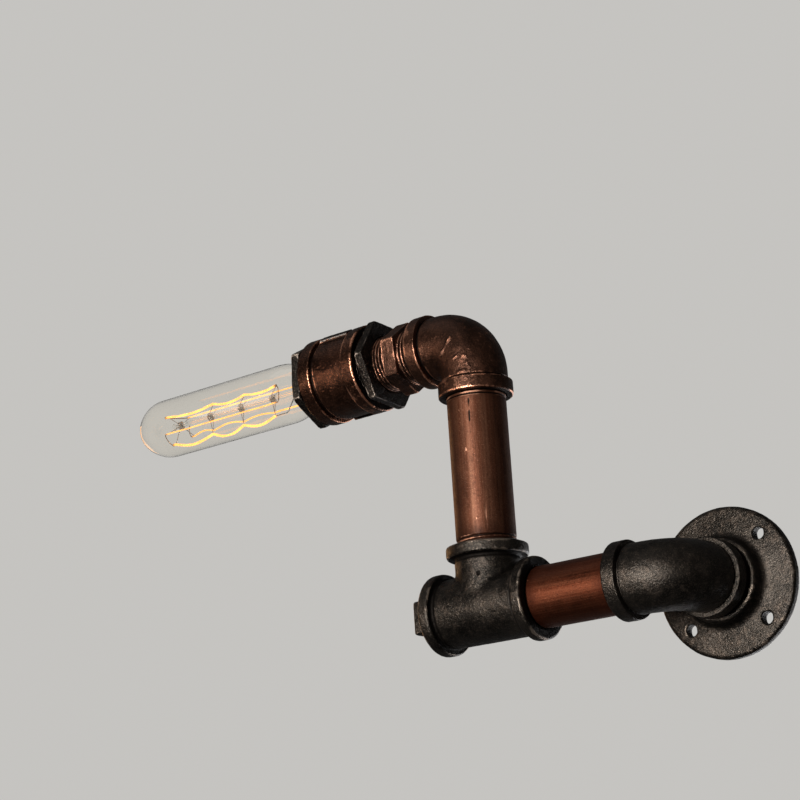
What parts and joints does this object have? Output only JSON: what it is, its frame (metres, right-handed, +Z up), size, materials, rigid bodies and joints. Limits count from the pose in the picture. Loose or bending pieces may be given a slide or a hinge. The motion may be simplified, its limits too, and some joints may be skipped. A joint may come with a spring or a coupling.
{
  "type": "wall light",
  "caption": "Industrial pipe wall light: round wall flange, run pipe, tee and riser carry an elbow head that swivels, with a ribbed socket and a long screw-in tubular filament bulb.",
  "frame": {"origin": "centre of the wall flange's back face, which lies on the wall", "axes": "+Z up, +Y into the wall, -Y to the room, +X to the right along the wall; at rest the lamp points along -X"},
  "size_m": [0.419, 0.0822, 0.2229],
  "materials": {
    "aged_bronze": "dark antique bronze patina with rubbed copper edges",
    "copper_pipe": "satin copper-brown lacquer",
    "red_copper_pipe": "satin reddish copper lacquer",
    "black_iron": "dark cast iron with a grey sheen",
    "porcelain": "white glaze",
    "brass": "plain",
    "nickel_brass": "rolled, lightly tarnished",
    "vitrite": "black vitrite",
    "solder": "dull solder",
    "clear_glass": "clear",
    "stem_glass": "clear",
    "wire_steel": "drawn wire",
    "filament_glow": "incandescent",
    "flex_sheath": "black sheath",
    "core_brown": "wire insulation",
    "core_blue": "wire insulation",
    "core_earth": "wire insulation",
    "nylon": "moulded nylon",
    "zinc_steel": "zinc plated"
  },
  "bodies": {
    "arm": {"wall_flange": "black_iron", "wall_nipple": "red_copper_pipe", "wall_elbow": "black_iron", "run_pipe": "red_copper_pipe", "tee": "black_iron", "tee_plug": "black_iron", "riser_pipe": "copper_pipe", "supply_flex_lower": "flex_sheath", "terminal_block": "nylon", "terminal_tubes": "brass", "terminal_screws": "zinc_steel", "supply_live_lead": "core_brown", "supply_neutral_lead": "core_blue", "earth_lead": "core_earth", "earth_tag": "brass", "earth_screw": "zinc_steel"},
    "head": {"head_elbow": "aged_bronze", "hex_nipple": "aged_bronze", "rear_bushing": "black_iron", "coupling": "aged_bronze", "front_bushing": "black_iron", "supply_flex_upper": "flex_sheath", "holder_live_lead": "core_brown", "holder_neutral_lead": "core_blue", "lampholder_body": "porcelain", "lampholder_shell": "nickel_brass", "lampholder_contact": "brass", "lampholder_shell_strap": "brass", "lampholder_posts": "brass", "lampholder_screws": "zinc_steel"},
    "bulb_carrier": {"bulb_tip": "solder"},
    "bulb": {"bulb_cap": "nickel_brass", "bulb_insulator": "vitrite", "bulb_glass": "clear_glass", "bulb_stem": "stem_glass", "bulb_lead_wires": "wire_steel", "filament_supports": "wire_steel", "filament": "filament_glow"}
  },
  "joints": [
    {"name": "head_swivel", "type": "hinge", "parent": "arm", "child": "head", "pos_m": [-0.118, -0.055, 0.127], "axis": [0, 0, 1], "range_deg": [-8, 90]},
    {"name": "bulb_lift", "type": "slide", "parent": "head", "child": "bulb_carrier", "axis": [-1, 0, 0], "range_m": [0, 0.0146]},
    {"name": "bulb_turn", "type": "hinge", "parent": "bulb_carrier", "child": "bulb", "pos_m": [-0.218, -0.055, 0.15435], "axis": [-1, 0, 0], "range_deg": [0, 1440]}
  ],
  "couplings": [
    {"joint": "bulb_lift", "follows": "bulb_turn", "m_per_rad": 0.00057757}
  ]
}
